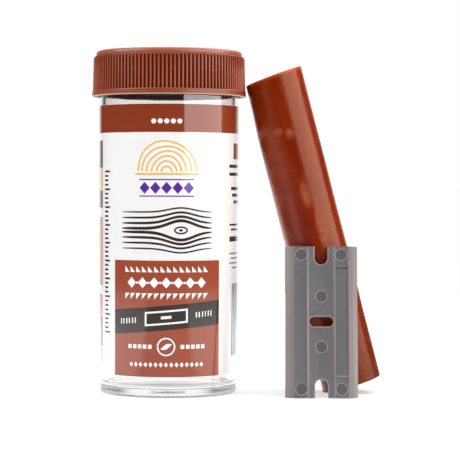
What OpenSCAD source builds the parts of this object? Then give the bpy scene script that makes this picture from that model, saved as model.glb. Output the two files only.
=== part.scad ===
// Furniture repair wax stick kit: a screw-capped clear vial with its wrap label, the wax stick
// that leans on the cap, and the double-edged plastic scraper that leans on the stick.
// The origin is on the floor, on the vial's axis. +Z is up and the label's panel faces -Y.

/* [Vial] */
// Height of the vial from the floor to its lip
vial_h = 84.5; // [60:0.5:120]
// Outer radius of the body just above the foot
vial_base_r = 17.45; // [14:0.05:24]
// How much wider the body is at the shoulder than at the foot
vial_draft = 0.25; // [0:0.05:0.8]
// Thickness of the side wall
vial_wall = 1.3; // [0.8:0.05:2]
// Thickness of the floor at the standing ring
vial_floor = 2; // [1.5:0.05:3]
// Height of the neck, which the cap screws on to
neck_h = 7.5; // [7:0.1:14]
// How far the neck is set in from the body
neck_step = 0.5; // [0.2:0.05:0.7]
// Radius of the rounded foot
foot_r = 1.2; // [0.4:0.05:2]
// Width of the flat ring that the vial stands on
standing_ring_w = 1.6; // [0.6:0.1:3]
// Depth of the hollow under the floor
punt_depth = 0.5; // [0.2:0.05:0.7]

/* [Label] */
// Clear wall left bare between the floor and the label
label_foot_gap = 5.2; // [3:0.1:12]
// Clear wall left bare between the label and the shoulder
label_head_gap = 4.1; // [2:0.1:10]
// Thickness of the film
label_t = 0.1; // [0.06:0.01:0.2]

/* [Cap] */
// Height of the cap
cap_h = 11.3; // [9.5:0.1:12]
// Thickness of the top plate
cap_plate_t = 1.3; // [1:0.05:2]
// Wall from the bore to the bottom of the rib grooves
cap_wall = 0.7; // [0.5:0.05:1.2]
// Radial room between the neck and the cap's bore, where both threads run
thread_room = 1.1; // [0.8:0.05:1.5]
// Number of grip ribs
rib_count = 120; // [60:1:140]
// Depth of the grip ribs just above the band
rib_depth = 0.46; // [0.25:0.01:0.6]
// How much shallower the ribs are at their top
rib_draft = 0.2; // [0.05:0.01:0.24]
// Height of the plain band round the cap's mouth
band_h = 1.3; // [0.8:0.05:2]
// How far the band stands out past the ribs
band_proud = 0.18; // [0.05:0.01:0.4]
// How far the top plate is set in from the rib grooves
plate_step = 0.4; // [0.2:0.05:0.6]
// Radius of the top plate's rounded edge
plate_edge_r = 0.7; // [0.3:0.05:0.9]

/* [Cap liner] */
// Thickness of the foam disc
liner_t = 1; // [0.6:0.05:1.5]
// Radial gap from the disc to the cap's bore
liner_gap = 0.4; // [0.1:0.05:0.6]

/* [Wax stick] */
// Length of the stick along its shorter side, which leans on the cap
stick_len = 80.8; // [60:0.1:84]
// Radius of the stick
stick_r = 7.43; // [6:0.01:9]
// Lean of the stick towards the cap, in degrees
stick_lean = 14.6; // [10:0.05:18]
// Slant of the stick's top end, up from square on the side away from the cap, in degrees
stick_cut = 5.8; // [0:0.1:12]
// Radius of the rounded rim at the foot
stick_rim_r = 0.2; // [0.1:0.05:1]
// Gap that the stick's top corner keeps from the cap's band as the cap rises
lean_gap = 0.15; // [0.1:0.05:0.4]

/* [Scraper] */
// Length of the scraper, the standard 1.5 inches of a razor blade
scraper_len = 38.1; // [30:0.1:50]
// Width over both edges
scraper_w = 18.1; // [17.9:0.1:24]
// Thickness of the body
scraper_t = 1.4; // [1.3:0.05:2]
// Thickness left at the two scraping edges
edge_t = 0.3; // [0.15:0.05:0.4]
// Width of each bevel, from the scraping edge to the flat
bevel_w = 2.25; // [1.8:0.05:2.3]
// Width of the outer, slimmer part of each bevel
land_w = 1.1; // [0.6:0.05:1.4]
// Thickness where the two parts of a bevel meet
land_t = 0.75; // [0.5:0.05:1]
// Lean of the scraper back on to the stick, in degrees
scraper_lean = 12; // [8:0.5:20]
// Shift of the scraper to the right of the stick's axis, where it leans on it
scraper_shift = 0.5; // [-2:0.1:2]
// Gap between the scraper's top edge and the stick
scraper_gap = 0.2; // [0.1:0.05:0.4]

/* [Scraper face] */
// Width of the channel down the middle of both faces
channel_w = 6.3; // [6.2:0.05:6.6]
// Depth of the channel
channel_depth = 0.16; // [0.08:0.01:0.22]
// Width of the sloping lip on each side of the channel
lip_w = 0.4; // [0.2:0.05:0.5]
// Length of the slot across the middle
slot_len = 6; // [4:0.1:6.2]
// Width of that slot
slot_w = 2.45; // [1.5:0.05:3]
// Width of the notch in each end
notch_w = 3.2; // [2:0.1:4]
// Depth of those notches
notch_depth = 4.55; // [3:0.05:6]
// Width of the chamfer round the slot and the notches
rim_w = 0.3; // [0.15:0.05:0.35]
// Plain length between each end and the long recess on the right
recess_margin = 5.4; // [4:0.1:8]
// Depth of that recess
recess_depth = 0.18; // [0.1:0.01:0.25]
// Flat left between the recess and what lies beside it
recess_land = 0.1; // [0.05:0.05:0.2]
// Radius of the round ejector marks
mark_r = 1.38; // [0.8:0.02:1.45]
// Depth of the ejector marks
mark_depth = 0.14; // [0.08:0.01:0.2]
// Width of the chamfer round an ejector mark
mark_rim = 0.2; // [0.1:0.05:0.25]
// Distance of the corner marks from the scraper's centre line
mark_side = 5; // [4.8:0.05:5.2]
// Distance of the corner marks from the nearer end
mark_end = 2.1; // [1.8:0.05:3]
// Distance of the two middle marks from the scraper's mid-length
mark_mid = 6.35; // [4:0.05:8]

/* [Hidden] */
$fn = 128;
// Overrun of every cut past the face that it opens
over = 0.4;

shoulder_z = vial_h - neck_h;
shoulder_r = vial_base_r + vial_draft;
neck_r = shoulder_r - neck_step;
bore_top_r = shoulder_r - vial_wall;
bore_base_r = vial_base_r - vial_wall;
// Round of the corner between floor and wall inside, and the chamfers of the lip and shoulder
floor_round = 1.4;
lip_chamfer = 0.15;
shoulder_drop = 0.4;
// The gate disc under the floor, with the nub that the runner leaves at its middle
gate_r = 2.8;
gate_depth = 0.25;
nub_r = 0.7;
nub_h = 0.35;
punt_r = vial_base_r - foot_r - standing_ring_w;
punt_slope = 0.5;

label_base_z = label_foot_gap;
label_top_z = shoulder_z - label_head_gap;
label_r = shoulder_r + label_t;

cap_bore_r = neck_r + thread_room;
groove_r = cap_bore_r + cap_wall;
rib_r = groove_r + rib_depth;
rib_top_r = rib_r - rib_draft;
band_r = rib_r + band_proud;
plate_r = groove_r - plate_step;
cap_under_z = vial_h + liner_t;
cap_top_z = cap_under_z + cap_plate_t;
cap_base_z = cap_top_z - cap_h;
band_top_z = cap_base_z + band_h;
band_chamfer = 0.25;
// The ribs stop this far below the cap's top, behind a chamfer
plate_h = 1.3;
rib_chamfer = 0.5;
ribs_top_z = cap_top_z - plate_h;
// The groove that parts the top plate from the ribs
parting_w = 0.2;
parting_depth = 0.15;
// Shares of one rib's pitch at which its flanks and its crest begin and end
rib_flank_shares = [0.14, 0.32, 0.68, 0.86];

liner_r = cap_bore_r - liner_gap;

// Middle of the stick's foot: its lowest rim touches the floor
rim_mid_r = stick_r - stick_rim_r;
stick_foot_z = stick_rim_r + rim_mid_r * sin(stick_lean) - stick_rim_r * cos(stick_lean);
// What the stick can lean on, as radius, lowest height and highest height
props = [
    [label_r, 0, label_top_z],
    [band_r, cap_base_z, ribs_top_z],
    [plate_r, ribs_top_z, cap_top_z]
];
corner_z = stick_foot_z - stick_r * sin(stick_lean) + stick_len * cos(stick_lean);
// Length that the slanted end adds on the side away from the cap
cut_rise = 2 * stick_r * tan(stick_cut);
stick_foot_x = max([for (p = props) foot_reach(p[0] + lean_gap, p[1], p[2])]);

scraper_top_z = scraper_len * cos(scraper_lean);
scraper_x = stick_foot_x - (scraper_top_z - stick_foot_z) * tan(stick_lean) + scraper_shift;
scraper_y = -(stick_r + scraper_gap) - scraper_len * sin(scraper_lean);

// Radius of the body's outer wall at height z
function body_r(z) = vial_base_r + vial_draft * (z - foot_r) / (shoulder_z - shoulder_drop - foot_r);

// Distance of the stick's foot from the vial's axis at which the stick clears a prop of radius r
// that spans low to high: its top corner nears the prop, or its side nears the prop's upper edge
function foot_reach(r, low, high) =
    corner_z < low ? 0
    : corner_z <= high ? r + stick_r * cos(stick_lean) + stick_len * sin(stick_lean)
    : r + stick_r / cos(stick_lean) + (high - stick_foot_z) * tan(stick_lean);

// Outline of the vial filled in, from the axis out: rounded foot, drafted wall, shoulder and neck
module vial_outline() {
    translate([vial_base_r - foot_r, foot_r]) circle(foot_r);
    polygon([
        [0, 0],
        [vial_base_r - foot_r, 0],
        [vial_base_r - foot_r, foot_r],
        [vial_base_r, foot_r],
        [shoulder_r, shoulder_z - shoulder_drop],
        [neck_r, shoulder_z],
        [neck_r, vial_h - lip_chamfer],
        [neck_r - lip_chamfer, vial_h],
        [0, vial_h]
    ]);
}

// Outline of the space inside the vial, with its rounded lower corner
module vial_space() {
    translate([bore_base_r - floor_round, vial_floor + floor_round]) circle(floor_round);
    polygon([
        [0, vial_floor],
        [bore_base_r - floor_round, vial_floor],
        [bore_base_r - floor_round, vial_floor + floor_round],
        [bore_base_r, vial_floor + floor_round],
        [bore_top_r, shoulder_z],
        [bore_top_r, vial_h - lip_chamfer],
        [bore_top_r + lip_chamfer + over, vial_h + over],
        [0, vial_h + over]
    ]);
}

// Outline of the hollow under the floor: the punt, and the gate disc cut deeper round its nub
module punt_space() {
    polygon([
        [0, -over],
        [punt_r, -over],
        [punt_r, 0],
        [punt_r - punt_slope, punt_depth],
        [gate_r, punt_depth],
        [gate_r, punt_depth + gate_depth],
        [nub_r, punt_depth + gate_depth],
        [nub_r, punt_depth + gate_depth - nub_h],
        [0, punt_depth + gate_depth - nub_h]
    ]);
}

// Clear moulded vial
module vial() {
    color([0.88, 0.9, 0.91, 0.35])
        rotate_extrude() difference() {
            vial_outline();
            vial_space();
            punt_space();
        }
}

// Wrap label: film that goes once round the body's drafted wall
module label() {
    color("white")
        rotate_extrude() polygon([
            [body_r(label_base_z), label_base_z],
            [body_r(label_base_z) + label_t, label_base_z],
            [body_r(label_top_z) + label_t, label_top_z],
            [body_r(label_top_z), label_top_z]
        ]);
}

// Point on the ribbed outline at radius r and at a share of the pitch past rib number i
function rib_point(r, i, share) =
    let (a = (i + share) * 360 / rib_count) [r * cos(a), r * sin(a)];

// Plan of the ribbed wall: every rib rises from the groove radius to its crest and back
module ribbed_plan() {
    polygon([
        for (i = [0 : rib_count - 1])
            for (k = [0 : 3])
                rib_point(k == 1 || k == 2 ? rib_r : groove_r, i, rib_flank_shares[k])
    ]);
}

// Envelope of the ribs: it narrows upwards with the draft and ends in a chamfer
module rib_envelope() {
    rotate_extrude() polygon([
        [0, band_top_z - over],
        [rib_r, band_top_z - over],
        [rib_r, band_top_z],
        [rib_top_r, ribs_top_z - rib_chamfer],
        [rib_top_r - rib_chamfer, ribs_top_z],
        [0, ribs_top_z]
    ]);
}

// Outline of the cap's smooth body: band, skirt, parting groove and rounded top plate
module cap_outline() {
    translate([plate_r - plate_edge_r, cap_top_z - plate_edge_r]) circle(plate_edge_r);
    polygon([
        [0, cap_base_z],
        [band_r - band_chamfer, cap_base_z],
        [band_r, cap_base_z + band_chamfer],
        [band_r, band_top_z - band_chamfer],
        [band_r - band_chamfer, band_top_z],
        [groove_r, band_top_z],
        [groove_r, ribs_top_z - rib_chamfer],
        [groove_r - parting_depth, ribs_top_z],
        [plate_r - parting_depth, ribs_top_z],
        [plate_r - parting_depth, ribs_top_z + parting_w],
        [plate_r, ribs_top_z + parting_w],
        [plate_r, cap_top_z - plate_edge_r],
        [plate_r - plate_edge_r, cap_top_z - plate_edge_r],
        [plate_r - plate_edge_r, cap_top_z],
        [0, cap_top_z]
    ]);
}

// Ribbed screw cap
module cap() {
    color([0.62, 0.31, 0.21])
        difference() {
            union() {
                rotate_extrude() cap_outline();
                intersection() {
                    translate([0, 0, band_top_z - over])
                        linear_extrude(ribs_top_z - band_top_z + 2 * over) ribbed_plan();
                    rib_envelope();
                }
            }
            translate([0, 0, cap_base_z - over])
                cylinder(h = cap_under_z - cap_base_z + over, r = cap_bore_r);
        }
}

// Foam disc that seals the cap on the lip
module cap_liner() {
    color([0.93, 0.93, 0.91])
        translate([0, 0, vial_h]) cylinder(h = liner_t, r = liner_r);
}

// Wax stick, a round bar with a rounded foot, whose top end is cut on a slant, leaning on the cap
module wax_stick() {
    long = stick_len + cut_rise + over;
    color([0.51, 0.16, 0.06])
        translate([stick_foot_x, 0, stick_foot_z]) rotate([0, -stick_lean, 0]) difference() {
            rotate_extrude() {
                square([rim_mid_r, long]);
                translate([0, stick_rim_r]) square([stick_r, long - stick_rim_r]);
                translate([rim_mid_r, stick_rim_r]) circle(stick_rim_r);
            }
            translate([-stick_r, -stick_r - over, stick_len]) rotate([0, -stick_cut, 0])
                translate([-over, 0, 0])
                    cube([2 * (stick_r / cos(stick_cut) + over), 2 * (stick_r + over), cut_rise + 2 * over]);
        }
}

// Cut through the blank along +X, as wide as 2r, with round ends and chamfered rims that
// start at the channel's floor on both faces
module rimmed_slot(r, span) {
    face = scraper_t - channel_depth;
    flare = rim_w + over;
    side = [
        [r + flare, channel_depth - over],
        [r, channel_depth + rim_w],
        [r, face - rim_w],
        [r + flare, face + over]
    ];
    for (x = [0, span])
        translate([x, 0, 0]) {
            translate([0, 0, -over]) cylinder(h = scraper_t + 2 * over, r = r);
            translate([0, 0, face - rim_w]) cylinder(h = flare, r1 = r, r2 = r + flare);
            translate([0, 0, channel_depth - over]) cylinder(h = flare, r1 = r + flare, r2 = r);
        }
    rotate([90, 0, 90]) linear_extrude(span) polygon([
        each side,
        for (k = [3 : -1 : 0]) [-side[k].x, side[k].y]
    ]);
}

// Section of the scraper across its width: two-step bevels on both faces and both edges
module blank_section() {
    side = scraper_w / 2;
    mid = scraper_t / 2;
    quarter = [[side, edge_t / 2], [side - land_w, land_t / 2], [side - bevel_w, scraper_t / 2]];
    polygon([
        for (p = quarter) [p.x, mid + p.y],
        for (k = [2 : -1 : 0]) [-quarter[k].x, mid + quarter[k].y],
        for (p = quarter) [-p.x, mid - p.y],
        for (k = [2 : -1 : 0]) [quarter[k].x, mid - quarter[k].y]
    ]);
}

// Section of the channel's cut on one face, with a sloping lip on each side
module channel_section() {
    half = channel_w / 2;
    polygon([
        [-half, scraper_t - channel_depth],
        [half, scraper_t - channel_depth],
        [half + lip_w, scraper_t],
        [half + lip_w, scraper_t + over],
        [-half - lip_w, scraper_t + over],
        [-half - lip_w, scraper_t]
    ]);
}

// A length of a section drawn across the scraper, run along it
module along_blank(length) {
    translate([0, length, 0]) rotate([90, 0, 0]) linear_extrude(length) children();
}

// Round ejector mark sunk into the face at height z
module ejector_mark(x, y, z) {
    translate([x, y, z - mark_depth]) {
        cylinder(h = mark_depth + over, r = mark_r);
        translate([0, 0, mark_depth - mark_rim])
            cylinder(h = mark_rim + over, r1 = mark_r, r2 = mark_r + mark_rim + over);
    }
}

// Scraper lying on its back, with its lower end on the X axis
module scraper_blank() {
    recess_x = channel_w / 2 + lip_w + recess_land;
    recess_w = scraper_w / 2 - bevel_w - recess_land - recess_x;
    notch_r = notch_w / 2;
    difference() {
        along_blank(scraper_len) blank_section();
        translate([0, -over, 0]) along_blank(scraper_len + 2 * over) channel_section();
        translate([0, -over, scraper_t]) mirror([0, 0, 1])
            along_blank(scraper_len + 2 * over) channel_section();
        translate([-(slot_len - slot_w) / 2, scraper_len / 2, 0])
            rimmed_slot(slot_w / 2, slot_len - slot_w);
        translate([0, notch_depth - notch_r, 0]) rotate([0, 0, -90])
            rimmed_slot(notch_r, notch_depth);
        translate([0, scraper_len - notch_depth + notch_r, 0]) rotate([0, 0, 90])
            rimmed_slot(notch_r, notch_depth);
        translate([recess_x, recess_margin, scraper_t - recess_depth])
            cube([recess_w, scraper_len - 2 * recess_margin, recess_depth + over]);
        for (x = [-mark_side, mark_side], y = [mark_end, scraper_len - mark_end])
            ejector_mark(x, y, scraper_t);
        for (y = [-mark_mid, mark_mid])
            ejector_mark(0, scraper_len / 2 + y, scraper_t - channel_depth);
    }
}

// Moulded scraper, stood on end and leaned back until its top edge nears the stick
module scraper() {
    color([0.45, 0.45, 0.46])
        translate([scraper_x, scraper_y, 0]) rotate([-scraper_lean, 0, 0]) rotate([90, 0, 0])
            scraper_blank();
}

vial();
label();
cap();
cap_liner();
wax_stick();
scraper();
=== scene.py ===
"""Looks of the furniture repair wax stick kit: a clear screw-capped vial with its wrap label,
the wax stick that leans on the cap, and the plastic scraper that leans on the stick."""

import math

import bmesh
import bpy
import numpy as np
from mathutils import Matrix, Vector


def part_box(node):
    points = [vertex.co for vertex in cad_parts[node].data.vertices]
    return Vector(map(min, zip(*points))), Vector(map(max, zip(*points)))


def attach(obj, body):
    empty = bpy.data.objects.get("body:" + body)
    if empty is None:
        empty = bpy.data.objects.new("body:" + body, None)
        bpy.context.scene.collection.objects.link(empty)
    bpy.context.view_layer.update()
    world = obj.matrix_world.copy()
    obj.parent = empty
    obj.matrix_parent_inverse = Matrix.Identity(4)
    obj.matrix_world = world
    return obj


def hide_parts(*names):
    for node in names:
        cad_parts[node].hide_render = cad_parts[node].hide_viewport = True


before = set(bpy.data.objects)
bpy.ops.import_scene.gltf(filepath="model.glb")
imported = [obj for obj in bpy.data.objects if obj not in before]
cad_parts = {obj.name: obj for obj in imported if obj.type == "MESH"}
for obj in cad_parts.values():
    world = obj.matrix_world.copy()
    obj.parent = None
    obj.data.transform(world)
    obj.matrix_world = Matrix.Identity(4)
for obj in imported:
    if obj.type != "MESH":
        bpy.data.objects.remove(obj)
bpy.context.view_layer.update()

# Camera
# A long lens a little above the middle of the vial, half a metre away and tipped down by a
# degree, so that the cap shows its under edge and the vial its foot. It is rolled by a hair.
MM = 0.001
CAMERA_AT = (15.7 * MM, -488 * MM, 52.3 * MM)
CAMERA_TIP = 1.284
CAMERA_ROLL = 0.23
CAMERA_LENS = 149.1

scene = bpy.context.scene
scene.view_settings.view_transform = "Standard"
camera_data = bpy.data.cameras.new("camera")
camera_data.lens = CAMERA_LENS
camera_data.clip_start = 0.01
camera_data.clip_end = 20
camera = bpy.data.objects.new("camera", camera_data)
camera.location = CAMERA_AT
tipped = Matrix.Rotation(math.radians(90 - CAMERA_TIP), 3, "X")
camera.rotation_euler = (tipped @ Matrix.Rotation(math.radians(CAMERA_ROLL), 3, "Z")).to_euler()
scene.collection.objects.link(camera)
scene.camera = camera


# Studio
# A round white sheet under four softboxes: a low one on the right, whose reflection is the broad
# strip on every glossy side, a high one on each side and one overhead. The room in front is dark.
def linear(code, alpha=1.0):
    """Linear colour of an sRGB hex code: each channel is ((c + 0.055) / 1.055) ** 2.4."""
    channels = np.array([int(code[i : i + 2], 16) / 255 for i in (1, 3, 5)])
    lit = np.where(channels <= 0.04045, channels / 12.92, ((channels + 0.055) / 1.055) ** 2.4)
    return (*lit.tolist(), alpha)


def add_node(tree, kind, values=None, links=None, **settings):
    """Adds a node with its settings, its inputs' values and the sockets linked to its inputs."""
    node = tree.nodes.new(kind)
    for key, value in settings.items():
        setattr(node, key, value)
    for key, value in (values or {}).items():
        node.inputs[key].default_value = value
    for key, socket in (links or {}).items():
        tree.links.new(socket, node.inputs[key])
    return node


def empty_material(name):
    """A material with a cleared node tree, and that tree."""
    material = bpy.data.materials.new(name)
    material.use_nodes = True
    material.node_tree.nodes.clear()
    return material, material.node_tree


def softbox(name, at, aim, width, height, radiance, tint="#FFFFFF"):
    """An area lamp that faces aim. Its power is radiance times pi times its area."""
    lamp = bpy.data.lights.new(name, "AREA")
    lamp.shape = "RECTANGLE"
    lamp.size = width
    lamp.size_y = height
    lamp.energy = radiance * math.pi * width * height
    lamp.color = linear(tint)[:3]
    holder = bpy.data.objects.new(name, lamp)
    holder.location = at
    holder.rotation_euler = (Vector(aim) - Vector(at)).to_track_quat("-Z", "Y").to_euler()
    scene.collection.objects.link(holder)


AIM = (0.015, 0, 0.04)
softbox("softbox_strip", (0.495, -0.26, 0.20), AIM, 0.84, 0.32, 3.7, "#FFFAF7")
softbox("softbox_right", (0.42, 0.36, 0.62), AIM, 0.50, 0.40, 4.0)
softbox("softbox_left", (-0.70, -0.28, 0.50), AIM, 0.70, 0.50, 4.8)
softbox("softbox_top", (0.05, 0.05, 0.90), AIM, 1.10, 1.00, 2.05)

SHEET_R = 0.45
floor_angle = np.linspace(0, 2 * np.pi, 97)[:-1]
floor_ring = np.stack([np.cos(floor_angle), np.sin(floor_angle), 0 * floor_angle], 1) * SHEET_R
floor_mesh = bpy.data.meshes.new("floor")
floor_mesh.from_pydata(floor_ring.tolist(), [], [list(range(96))])
floor = bpy.data.objects.new("floor", floor_mesh)
scene.collection.objects.link(floor)

# White paper. Seen by gloss it carries a painted glow round the foot and painted pools of lamp
# light to the sides, dimmer towards its rim and dull in front, and clear plastic shows it bright
NEAR_GLOW = 0.30
PAINTED_POOL_GLOW = 1.25
POOL_SLANT = 0.55
POOL_RIM = 0.35
GLASS_GLOW = 0.92
PAINTED_FOOT_GLOW = 0.50
PAPER = 0.86
GLOSS_SHEET = 0.45
GLASS_SHEET = 0.18
sweep, tree = empty_material("white_paper_sheet")
seen = add_node(tree, "ShaderNodeLightPath")
spot = add_node(tree, "ShaderNodeTexCoord")
away = add_node(tree, "ShaderNodeVectorMath", operation="LENGTH", links={0: spot.outputs["Object"]})
fade = add_node(tree, "ShaderNodeMapRange", {
    "From Min": 0.08, "From Max": 0.34, "To Min": NEAR_GLOW, "To Max": 1.0}, {"Value": away.outputs["Value"]})
axes = add_node(tree, "ShaderNodeSeparateXYZ", links={0: spot.outputs["Object"]})
across = add_node(tree, "ShaderNodeMath", operation="ABSOLUTE", links={0: axes.outputs["X"]})
aside = add_node(tree, "ShaderNodeMath", {1: POOL_SLANT}, {
    0: axes.outputs["Y"], 2: across.outputs[0]}, operation="MULTIPLY_ADD")
# Painted pools of lamp light, seen only by gloss: a glow to the sides of the kit and behind it
pool = add_node(tree, "ShaderNodeMapRange", {
    "From Min": 0.01, "From Max": 0.04, "To Max": PAINTED_POOL_GLOW}, {"Value": aside.outputs[0]})
rim = add_node(tree, "ShaderNodeMapRange", {
    "From Min": 0.2, "From Max": 0.36, "To Min": 1.0, "To Max": POOL_RIM}, {"Value": away.outputs["Value"]})
pool = add_node(tree, "ShaderNodeMath", operation="MULTIPLY", links={0: pool.outputs[0], 1: rim.outputs[0]})
# Painted glow round the foot, seen only by gloss
foot = add_node(tree, "ShaderNodeMapRange", {
    "From Min": 0.03, "From Max": 0.12, "To Min": PAINTED_FOOT_GLOW, "To Max": 0.0}, {"Value": away.outputs["Value"]})
bright = add_node(tree, "ShaderNodeMath", operation="MAXIMUM", links={0: pool.outputs[0], 1: foot.outputs[0]})
direct = add_node(tree, "ShaderNodeMath", operation="MULTIPLY", links={
    0: seen.outputs["Is Camera Ray"], 1: fade.outputs[0]})
in_glass = add_node(tree, "ShaderNodeMath", {1: 0.5}, {
    0: seen.outputs["Transmission Depth"]}, operation="GREATER_THAN")
in_air = add_node(tree, "ShaderNodeMath", {0: 1.0}, {1: in_glass.outputs[0]}, operation="SUBTRACT")
gloss_in_air = add_node(tree, "ShaderNodeMath", operation="MULTIPLY", links={
    0: seen.outputs["Is Glossy Ray"], 1: in_air.outputs[0]})
mirrored = add_node(tree, "ShaderNodeMath", operation="MULTIPLY_ADD", links={
    0: gloss_in_air.outputs[0], 1: bright.outputs[0], 2: direct.outputs[0]})
glow = add_node(tree, "ShaderNodeMath", {1: GLASS_GLOW}, {
    0: in_glass.outputs[0], 2: mirrored.outputs[0]}, operation="MULTIPLY_ADD")
paper = add_node(tree, "ShaderNodeMath", {1: GLOSS_SHEET - PAPER, 2: PAPER}, {
    0: gloss_in_air.outputs[0]}, operation="MULTIPLY_ADD")
paper = add_node(tree, "ShaderNodeMath", {1: GLASS_SHEET - PAPER}, {
    0: in_glass.outputs[0], 2: paper.outputs[0]}, operation="MULTIPLY_ADD")
matt = add_node(tree, "ShaderNodeBsdfDiffuse", links={"Color": paper.outputs[0]})
lift = add_node(tree, "ShaderNodeEmission", {"Color": (1, 1, 1, 1)}, {"Strength": glow.outputs[0]})
both = add_node(tree, "ShaderNodeAddShader", links={0: matt.outputs[0], 1: lift.outputs[0]})
add_node(tree, "ShaderNodeOutputMaterial", links={"Surface": both.outputs[0]})
floor_mesh.materials.append(sweep)

# Glass finds the table and the ceiling white too, and a dark belt at its height
ROOM_FRONT = 0.05
ROOM_BACK = 1.0
world = bpy.data.worlds.new("studio")
world.use_nodes = True
tree = world.node_tree
tree.nodes.clear()
seen = add_node(tree, "ShaderNodeLightPath")
direction = add_node(tree, "ShaderNodeTexCoord")
axes = add_node(tree, "ShaderNodeSeparateXYZ", links={0: direction.outputs["Generated"]})
behind = add_node(tree, "ShaderNodeMapRange", {
    "From Min": 0.8, "From Max": 0.93, "To Min": ROOM_FRONT, "To Max": ROOM_BACK},
    {"Value": axes.outputs["Y"]}, interpolation_type="SMOOTHSTEP")
level = add_node(tree, "ShaderNodeMath", operation="ABSOLUTE", links={0: axes.outputs["Z"]})
below = add_node(tree, "ShaderNodeMapRange", {"From Min": 0.08, "From Max": 0.26, "To Max": 0.72}, {
    "Value": level.outputs[0]})
in_glass = add_node(tree, "ShaderNodeMath", {1: 0.5}, {
    0: seen.outputs["Transmission Depth"]}, operation="GREATER_THAN")
table = add_node(tree, "ShaderNodeMath", operation="MULTIPLY", links={
    0: below.outputs[0], 1: in_glass.outputs[0]})
white = add_node(tree, "ShaderNodeMath", operation="MAXIMUM", links={
    0: seen.outputs["Is Camera Ray"], 1: table.outputs[0]})
room = add_node(tree, "ShaderNodeMix", {"B": 1.0}, {
    "Factor": white.outputs[0], "A": behind.outputs[0]}, data_type="FLOAT")
sky = add_node(tree, "ShaderNodeBackground", {"Color": (1, 1, 1, 1)}, {"Strength": room.outputs[0]})
add_node(tree, "ShaderNodeOutputWorld", links={"Surface": sky.outputs[0]})
scene.world = world


# Vial
# Clear polystyrene, injection moulded in one piece: a drafted body on a standing ring, a neck
# for the cap, and under the floor the disc and nub where the plastic entered the mould.
def rounded_profile(corners, arc_steps=6):
    """Outline through corners (radius, height, fillet), in mm. A fillet's arc touches both sides
    of its corner, at fillet / tan(half the angle) from it, and its centre lies on the bisector at
    fillet / sin(half the angle). A point a little before and after each arc keeps the shading of
    the straight runs straight."""
    spots = [np.array(c[:2], float) for c in corners]
    path = []
    for k, corner in enumerate(corners):
        here = spots[k]
        if len(corner) < 3 or k in (0, len(corners) - 1):
            path.append(here)
            continue
        before = (spots[k - 1] - here) / np.linalg.norm(spots[k - 1] - here)
        after = (spots[k + 1] - here) / np.linalg.norm(spots[k + 1] - here)
        half = math.acos(np.clip(before @ after, -1, 1)) / 2
        bisector = (before + after) / np.linalg.norm(before + after)
        centre = here + bisector * corner[2] / math.sin(half)
        start = here + before * corner[2] / math.tan(half) - centre
        end = here + after * corner[2] / math.tan(half) - centre
        share = np.linspace(0, 1, arc_steps + 1)[:, None]
        turn = math.pi - 2 * half
        arc = (np.sin((1 - share) * turn) * start + np.sin(share * turn) * end) / math.sin(turn)
        lead = (1 / math.tan(half) + 0.08) * corner[2]
        path.extend([here + before * lead, *(centre + arc), here + after * lead])
    return np.array(path)


def lattice(grid, rows="poles", columns="loop"):
    """Points and faces of a grid of points. Each point is joined to the next in its row and its
    column. Rows form a loop, or shrink to a pole at both ends; columns form a loop, or have
    a flat cap at both ends."""
    count, width = grid.shape[:2]
    index = np.arange(count * width).reshape(count, width)
    points = grid.reshape(-1, 3)
    if rows == "poles":
        points = np.concatenate([grid[0, :1], grid[1:-1].reshape(-1, 3), grid[-1, :1]])
        index = np.maximum(index - width + 1, 0)
        index[-1] = len(points) - 1
    lower = np.roll(index, -1, 0) if rows == "loop" else index[1:]
    upper = index if rows == "loop" else index[:-1]
    quads = np.stack([upper, np.roll(upper, -1, 1), np.roll(lower, -1, 1), lower], -1)
    if columns == "caps":
        quads = quads[:, :-1]
    if rows == "poles":
        faces = quads[1:-1].reshape(-1, 4).tolist()
        faces += quads[0][:, [0, 2, 3]].tolist() + quads[-1][:, [0, 1, 2]].tolist()
    else:
        faces = quads.reshape(-1, 4).tolist()
    if columns == "caps":
        faces += [index[::-1, 0].tolist(), index[:, -1].tolist()]
    return points, faces


def add_piece(name, points, faces, material, body, slot, sharp=40):
    """A piece from points in mm. Its faces are turned to point outwards if its volume, summed
    over a fan of each face, comes out negative. Edges bent by more than sharp degrees stay hard."""
    corner = [points[[f[k] for f in faces]] for k in range(3)]
    last = points[[f[-1] for f in faces]]
    volume = np.einsum("ij,ij->", corner[0], np.cross(corner[1], corner[2]))
    volume += np.einsum("ij,ij->", corner[0], np.cross(corner[2], last))
    if volume < 0:
        faces = [f[::-1] for f in faces]
    mesh = bpy.data.meshes.new(name)
    mesh.from_pydata((points * MM).tolist(), [], faces)
    mesh.shade_smooth()
    mesh.set_sharp_from_angle(angle=math.radians(sharp))
    mesh.materials.append(material)
    piece = bpy.data.objects.new(name, mesh)
    scene.collection.objects.link(piece)
    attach(piece, body)
    return piece


def lathe(profile, columns=256):
    """Grid of the surface that a profile of (radius, height) sweeps round the Z axis."""
    angle = np.arange(columns) * 2 * np.pi / columns
    radius = profile[:, :1]
    height = np.repeat(profile[:, 1:], columns, 1)
    return np.stack([radius * np.cos(angle), radius * np.sin(angle), height], -1)


vial_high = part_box("vial")[1]
label_low, label_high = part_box("label")
cap_low, cap_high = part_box("cap")
LIP_Z = vial_high.z / MM
SHOULDER_R = vial_high.x / MM
DRAFT = 0.25
WALL = 1.3
FLOOR_T = 2.0
FOOT_R = 1.2
RING_W = 1.6
SHOULDER_EASE = 0.4
NECK_STEP = 0.5
NECK_H = 7.5
PUNT = 0.5
GATE_R = 2.8
GATE_DEPTH = 0.12
FOOT_ROUGH = 0.08
FOOT_CLEAR = 0.5
GROUND_H = 0.7
shoulder_z = LIP_Z - NECK_H
neck_r = SHOULDER_R - NECK_STEP
base_r = SHOULDER_R - DRAFT
bore_top_r = SHOULDER_R - WALL
ring_r = base_r - FOOT_R - RING_W

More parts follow.
